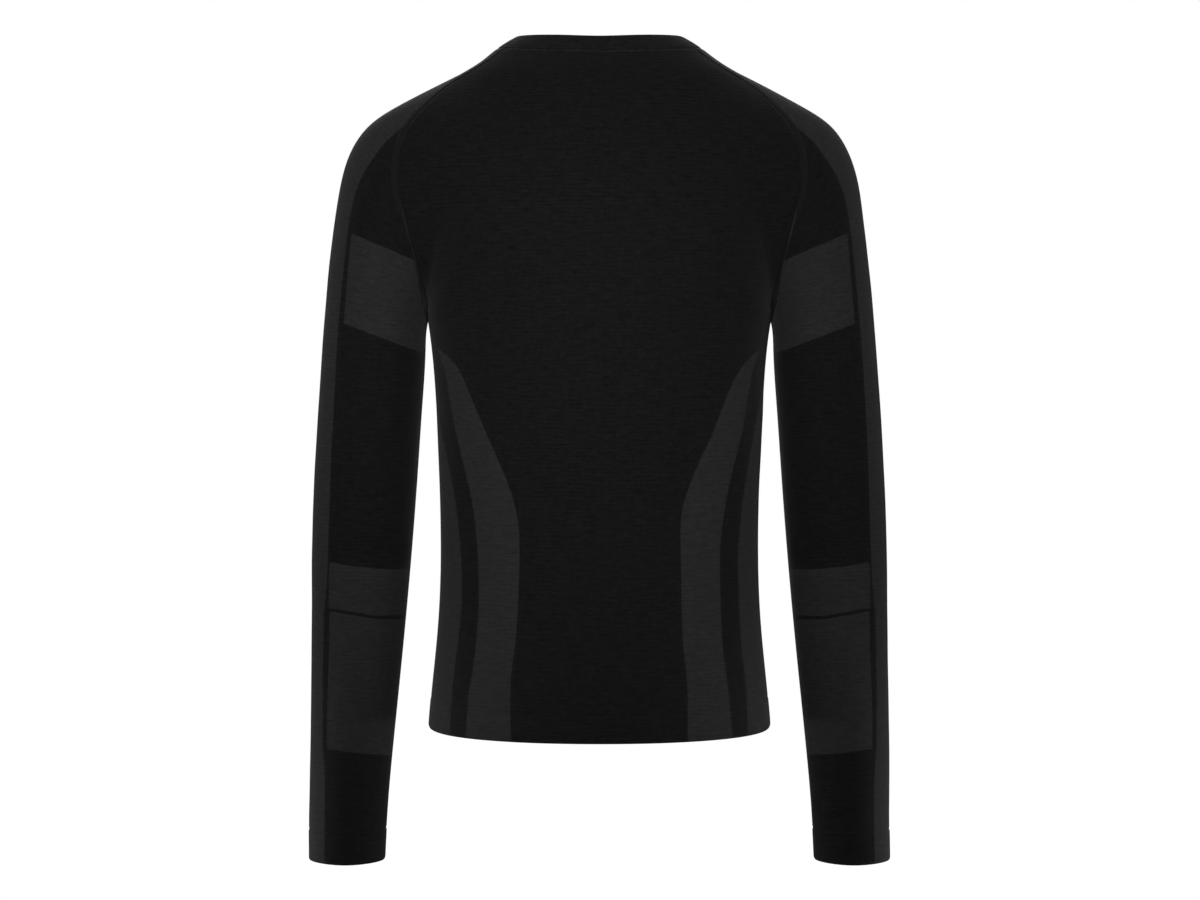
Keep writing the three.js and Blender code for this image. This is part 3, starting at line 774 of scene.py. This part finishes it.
# Ribbed polyester knit: upright cords 2.2 mm apart that catch the light one by one.
neck_knit = knit_material("polyester_knit_neckband", "#121212", band=0.0, rib=2.2)
print("materials", [m.name for m in bpy.data.materials if m.name.startswith("polyester")])


# %% [markdown]
# ## Cloth from the grids
# A piece is a thin shell: its outer skin is the grid, and a Solidify modifier gives it a thickness of
# 1.1 mm to the inside, with the reverse of the knit on the inner face. Both faces could be modelled, but
# with one skin they always stay the same distance apart. It rides on the body of the solid it stands for.
# %% Mesh of a piece
def place_object(name, data):
    thing = bpy.data.objects.new(name, data)
    bpy.context.scene.collection.objects.link(thing)
    return thing


def cloth_mesh(name, grid, values, outward):
    rows, columns = grid.shape[:2]
    index = np.arange(rows * columns).reshape(rows, columns)
    quads = np.stack([index[:-1, :-1], index[1:, :-1], index[1:, 1:], index[:-1, 1:]], -1).reshape(-1, 4)
    if outward:
        quads = quads[:, ::-1]
    mesh = bpy.data.meshes.new(name)
    mesh.from_pydata((grid.reshape(-1, 3) * MM).tolist(), [], quads.tolist())
    mesh.polygons.foreach_set("use_smooth", np.ones(len(mesh.polygons), bool))
    for key, value in values.items():
        attribute = mesh.attributes.new(key, "FLOAT", "POINT")
        attribute.data.foreach_set("value", np.ascontiguousarray(value, np.float32).ravel())
    mesh.update()
    return place_object(name, mesh)


print("rows and columns", back_cloth.shape[:2], "and", left_cloth.shape[:2])


# %% [markdown]
# Every length is kept on the mesh as a value for each point, where the material reads it.
# %% Build the panels and the sleeves
CLOTH_THICK = 1.1


def finish_piece(piece, node, slot, *materials, thick=CLOTH_THICK):
    for material in materials:
        piece.data.materials.append(material)
    if thick:
        wall = piece.modifiers.new("thickness", "SOLIDIFY")
        wall.thickness = thick * MM
        wall.offset = -1
        wall.use_even_offset = False
        wall.material_offset = len(materials) - 1
    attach(piece, "root")
    if node:
        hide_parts(node)
    return piece


PANELS = [  # piece, its grid, does the grid face outward, slot, knit
    ("back", back_cloth, True, "body_knit", body_knit),
    ("front", front_cloth, False, "body_knit", body_knit),
    ("sleeve_left", left_cloth, True, "sleeve_knit", sleeve_knit),
    ("sleeve_right", right_cloth, False, "sleeve_knit", sleeve_knit),
]
for name, grid, outward, slot, knit in PANELS:
    kind = name.split("_")[0]
    values = {key: facts[kind][key] for key in ("course", "wale")} | areas[kind]
    piece = cloth_mesh(name + "_cloth", grid, values, outward)
    finish_piece(piece, name, slot, knit, inner_knit)


# %% [markdown]
# ## Neckband
# The neckband is a strip folded in half along its length and sewn round the neck opening, so its top
# edge is a round fold and its wall is two layers. A bent tube would be quicker, but without the flat
# face. Here the outline is followed up the outside, over the fold and down the inside, at every point
# of the neck seam.
# %% Build the neckband
BAND_THICK = 2.4
BAND_ROWS = [  # share of the way up, how far the padded face swells there
    (0, -0.75), (0.03, -0.3), (0.08, 0.05), (0.16, 0.2), (0.3, 0.3), (0.45, 0.35), (0.6, 0.35),
    (0.75, 0.3), (0.88, 0.18), (1, 0),
]


def band_grid(ring):
    way = unit(ring * (1, 1, 0))
    top = neck_top(neck_turn(ring))
    bend = BAND_THICK / 2

    def skin(share):
        height = mix(ring[:, 2], top - bend, share)
        return ring if share == 0 else meet_form(spot(0, 0, height), way)

    face = np.stack([skin(share) for share, _ in BAND_ROWS])
    out = facing(face)
    swell = np.array([row[1] for row in BAND_ROWS])[:, None, None]
    outer = face + out * swell
    inner = face[::-1] - out[::-1] * (BAND_THICK + 0.5 * swell[::-1])
    rise = unit(face[-1] - face[-2])
    centre = face[-1] - out[-1] * bend
    turns = np.radians(np.arange(18, 180, 18))
    fold = np.stack([centre + bend * (out[-1] * math.cos(t) + rise * math.sin(t)) for t in turns])
    return np.vstack([outer, fold, inner, outer[:1]])


right_row = (left_grid[0] * (-1, 1, 1))[::-1]
ring = np.vstack([back_grid[0], left_grid[0][1:], front_grid[0][::-1][1:], right_row[1:]])
ring = at_shares(ring, np.linspace(0, 1, 301))
band = band_grid(ring)
band_wale = np.broadcast_to(lengths_along(ring), band.shape[:2])
neckband = cloth_mesh("neckband_cloth", band, {"course": lengths_along(band), "wale": band_wale}, False)
finish_piece(neckband, "neckband", "rib_knit", neck_knit, thick=0)
print("neck seam", lengths_along(ring)[-1].round(), "mm round")


# %% [markdown]
# ## Flat seams
# The raglan seams are sewn flat: a strip of covering thread about 5 mm wide lies over the join, on the
# sleeve's side. It shows as a matt black line between the body and the pale shoulder. It could be painted
# on, but a strip of its own catches the light at its edge, as the real one does. Its bars of thread are
# about 1 mm apart on a real seam, and are drawn 1.9 mm apart so that they show.
# %% Thread material
BAR_PITCH, ROW_PITCH, SLANT = 1.9, 1.8, 0.35
THREAD_LOOK = (0.8, 0.08, 0.6, 0.0003)  # roughness, sheen, strength and height of the bump
THREAD_SUMS = [  # result, operation, values
    ("slant", "MULTIPLY_ADD", "wale", SLANT, "course"),
    ("bar turn", "MULTIPLY", "slant", FULL_TURN / BAR_PITCH),
    ("bars", "SINE", "bar turn"),
    ("row turn", "MULTIPLY", "wale", FULL_TURN / ROW_PITCH),
    ("rows", "COSINE", "row turn"),
    ("height", "MULTIPLY_ADD", "rows", 0.6, "bars"),
    # The tone follows the relief: painted shade between the bars and a painted highlight on them.
    ("gain", "MULTIPLY_ADD", "height", 0.22, 1.0),
]


def thread_material(name, code):
    material = bpy.data.materials.new(name)
    add = bare_nodes(material)
    known = {}
    for key in ("course", "wale"):
        known[key] = add("Attribute", attribute_name=key, **POINT_VALUE)
    fibre_surface(add, known, THREAD_SUMS, paint(code), *THREAD_LOOK)
    return material


# Twisted polyester thread: slanted bars, as matt as the knit and a little lighter, with painted shade
# between the bars.
cover_thread = thread_material("polyester_cover_thread", "#111111")
print("thread", cover_thread.name, "with", len(THREAD_SUMS), "sums")


# %% [markdown]
# The strip is laid on the dressed sleeve itself, row by row, so that it follows every fold. Its two edges
# are sunk into the cloth, and its middle stands a third of a millimetre proud.
# %% Raglan strips
STRIP_ACROSS = np.array([0.15, 0.5, 1.2, 2.2, 3.3, 4.4, 5.1, 5.5, 5.6])
STRIP = STRIP_ACROSS[-1]


def raglan_strip(cloth):
    """Strip of thread on the sleeve beside the seam where its rows start, as a grid of its own."""
    rows = len(ABOVE) - 2
    cloth = cloth[:rows]
    length = lengths_across(cloth)
    run = unit(np.gradient(cloth[:, 0], axis=0))
    out_row = unit(cloth[:, 3] - cloth[:, 0])
    square = np.sqrt(np.clip(1 - (run * out_row).sum(1) ** 2, 0.15, 1))
    strip = []
    for i in range(rows):
        wide = np.minimum(STRIP_ACROSS / square[i], STRIP_ACROSS / STRIP * length[i, -1] * 0.45)
        strip.append(np.stack([np.interp(wide, length[i], cloth[i, :, k]) for k in range(3)], -1))
    strip = np.array(strip)
    lift = 0.08 + 0.25 * (1 - np.abs(2 * STRIP_ACROSS / STRIP - 1) ** 4)
    lift[0], lift[-1] = -0.1, -0.15
    return strip + facing(strip) * lift[None, :, None]


for side, name in ((1, "left"), (-1, "right")):
    cloth = left_cloth if side > 0 else right_cloth * (-1, 1, 1)
    for place, rows in (("back", cloth), ("front", cloth[:, ::-1])):
        grid = raglan_strip(rows)
        along = np.broadcast_to(lengths_along(grid[:, 4])[:, None], grid.shape[:2])
        values = {"course": along, "wale": np.broadcast_to(STRIP_ACROSS, grid.shape[:2])}
        outward = (place == "back") == (side > 0)
        strip = cloth_mesh(f"raglan_seam_{place}_{name}", grid * (side, 1, 1), values, outward)
        finish_piece(strip, None, "sleeve_knit", cover_thread, thick=0)


# %% [markdown]
# ## What each sheet was cut from
# Every cloth piece is declared with the flat size it is cut to, before it was filled out: the width and
# length of the cut, its area, and that it hangs. The areas are measured on the pieces here, and were then
# written as plain numbers.
# %% Flat sizes
def cloth_area(grid):
    a, b, c, d = grid[:-1, :-1], grid[1:, :-1], grid[1:, 1:], grid[:-1, 1:]
    triangles = ((a, b, c), (a, c, d))
    return sum(np.linalg.norm(np.cross(q - p, r - p), axis=-1).sum() / 2 for p, q, r in triangles) * MM**2


cloths = {"back": back_cloth, "front": front_cloth, "sleeve": left_cloth, "neckband": band}
for name, grid in cloths.items():
    wide, long = lengths_across(grid)[:, -1].max(), lengths_along(grid)[-1].max()
    print(name, cloth_area(grid).round(4), "m2,", wide.round(), "mm wide,", long.round(), "mm long")

FLAT = [  # piece, width and length in metres, area in square metres or None for width times length
    ("back", (0.44, 0.70), 0.24), ("front", (0.44, 0.66), 0.22), ("sleeve_left", (0.34, 0.83), 0.19),
    ("sleeve_right", (0.34, 0.83), 0.19), ("neckband", (0.58, 0.044), None),
]


# %% [markdown]
# ## Floor, light and camera
# A top like this is photographed on pure white, with large soft lights, so that the dark cloth is even
# and only its rims are a little brighter. The floor is a plain white plane far below the cuffs. It glows
# by itself, so that it is as white as the rest, and throws no light on the cloth.
# %% Floor
FLOOR_HEIGHT, FLOOR_SIZE = -0.98, 60
# Matt white paint: no shine, and as bright as the background.
white = bpy.data.materials.new("matt_white_floor")
add = bare_nodes(white)
glow = add("Emission", {"Color": (1, 1, 1, 1), "Strength": 0.99})
matt = add("BsdfDiffuse", {"Color": (0.06, 0.06, 0.06, 1)})
both = add("AddShader", {0: glow, 1: matt})
add("OutputMaterial", {"Surface": both})
bpy.ops.mesh.primitive_plane_add(size=FLOOR_SIZE, location=(0, 0, FLOOR_HEIGHT))
floor = bpy.context.object
floor.name = "floor"
floor.data.materials.append(white)
floor.visible_diffuse = False
floor.visible_glossy = False
print("floor at", FLOOR_HEIGHT, "m")


# %% [markdown]
# The world is white where the camera looks past the cloth, and a dim pale dome, brighter above, for
# everything that the cloth receives. One dome could light it all, but then the form would look flat.
# %% World
DOME_LOW, DOME_HIGH = 0.08, 0.34
world = bpy.data.worlds.new("studio")
bpy.context.scene.world = world
add = bare_nodes(world)
ray = add("LightPath", output="Is Camera Ray")
toward = add("TexCoord", output="Generated")
upward = add("SeparateXYZ", {0: toward}, "Z")
dome = add("MapRange", {0: upward, 1: -0.7, 2: 1.0, 3: DOME_LOW, 4: DOME_HIGH})
unseen = add("Math", {0: 1.0, 1: ray}, operation="SUBTRACT")
strength = add("Math", {0: dome, 1: unseen, 2: ray}, operation="MULTIPLY_ADD")
backdrop = add("Background", {"Color": (1, 1, 1, 1), "Strength": strength})
add("OutputWorld", {"Surface": backdrop})
print("dome from", DOME_LOW, "to", DOME_HIGH)


# %% [markdown]
# A soft key light on the camera's side lies as a pool on the shoulder blades and falls off downwards.
# Two tall boxes light the sides, and two small ones the outer side of the cuffs. A large one fills the
# front, which the camera doesn't see.
# %% Lights
LIGHTS = [  # name, place, aim, size, watts, spread in degrees
    ("key_behind", (0.09, 1.5, -0.08), (0.04, 0, -0.27), (0.5, 0.3), 1.45, 49),
    ("side_left", (1.9, 1.1, -0.15), (0, 0, -0.35), (0.9, 1.8), 3.4, 180),
    ("side_right", (-1.9, 1.1, -0.15), (0, 0, -0.35), (0.9, 1.8), 4.8, 180),
    ("low_left", (1.4, 0.06, -0.78), (0.27, 0, -0.79), (0.4, 0.3), 0.33, 24),
    ("low_right", (-1.4, 0.06, -0.78), (-0.27, 0, -0.79), (0.4, 0.3), 0.33, 24),
    ("front_fill", (0.0, -2.2, 0.6), (0, 0, -0.35), (2.0, 1.6), 26, 180),
]
for name, place, aim, size, watts, angle in LIGHTS:
    data = bpy.data.lights.new(name, "AREA")
    data.shape = "RECTANGLE"
    data.size, data.size_y = size
    data.energy = watts
    data.spread = math.radians(angle)
    lamp = place_object(name, data)
    lamp.location = place
    lamp.rotation_euler = (Vector(aim) - Vector(place)).to_track_quat("-Z", "Y").to_euler()
print("lights", [row[0] for row in LIGHTS])


# %% [markdown]
# The camera stands straight behind the top, level with its middle, 2.6 m away. A long lens from there
# keeps the sleeves and the hem in the proportions of the picture, where a short one would swell the back.
# %% Camera
LENS, CAMERA_ASIDE = 84.8, -0.00046
eye = bpy.data.cameras.new("camera")
eye.sensor_width = 36
eye.lens = LENS
camera = place_object("camera", eye)
camera.location = (CAMERA_ASIDE, CAMERA_REACH * MM, CAMERA_HEIGHT * MM)
camera.rotation_euler = (math.radians(90), 0, math.radians(180))
bpy.context.scene.camera = camera
bpy.context.scene.view_settings.view_transform = "Standard"
print("camera", tuple(round(v, 4) for v in camera.location), "lens", eye.lens)


# %% [markdown]
# At the end the dressed part is measured, and both sizes are kept side by side.
# %% Finish
for name, flat, area in FLAT:
    side = name.split("_")[-1]
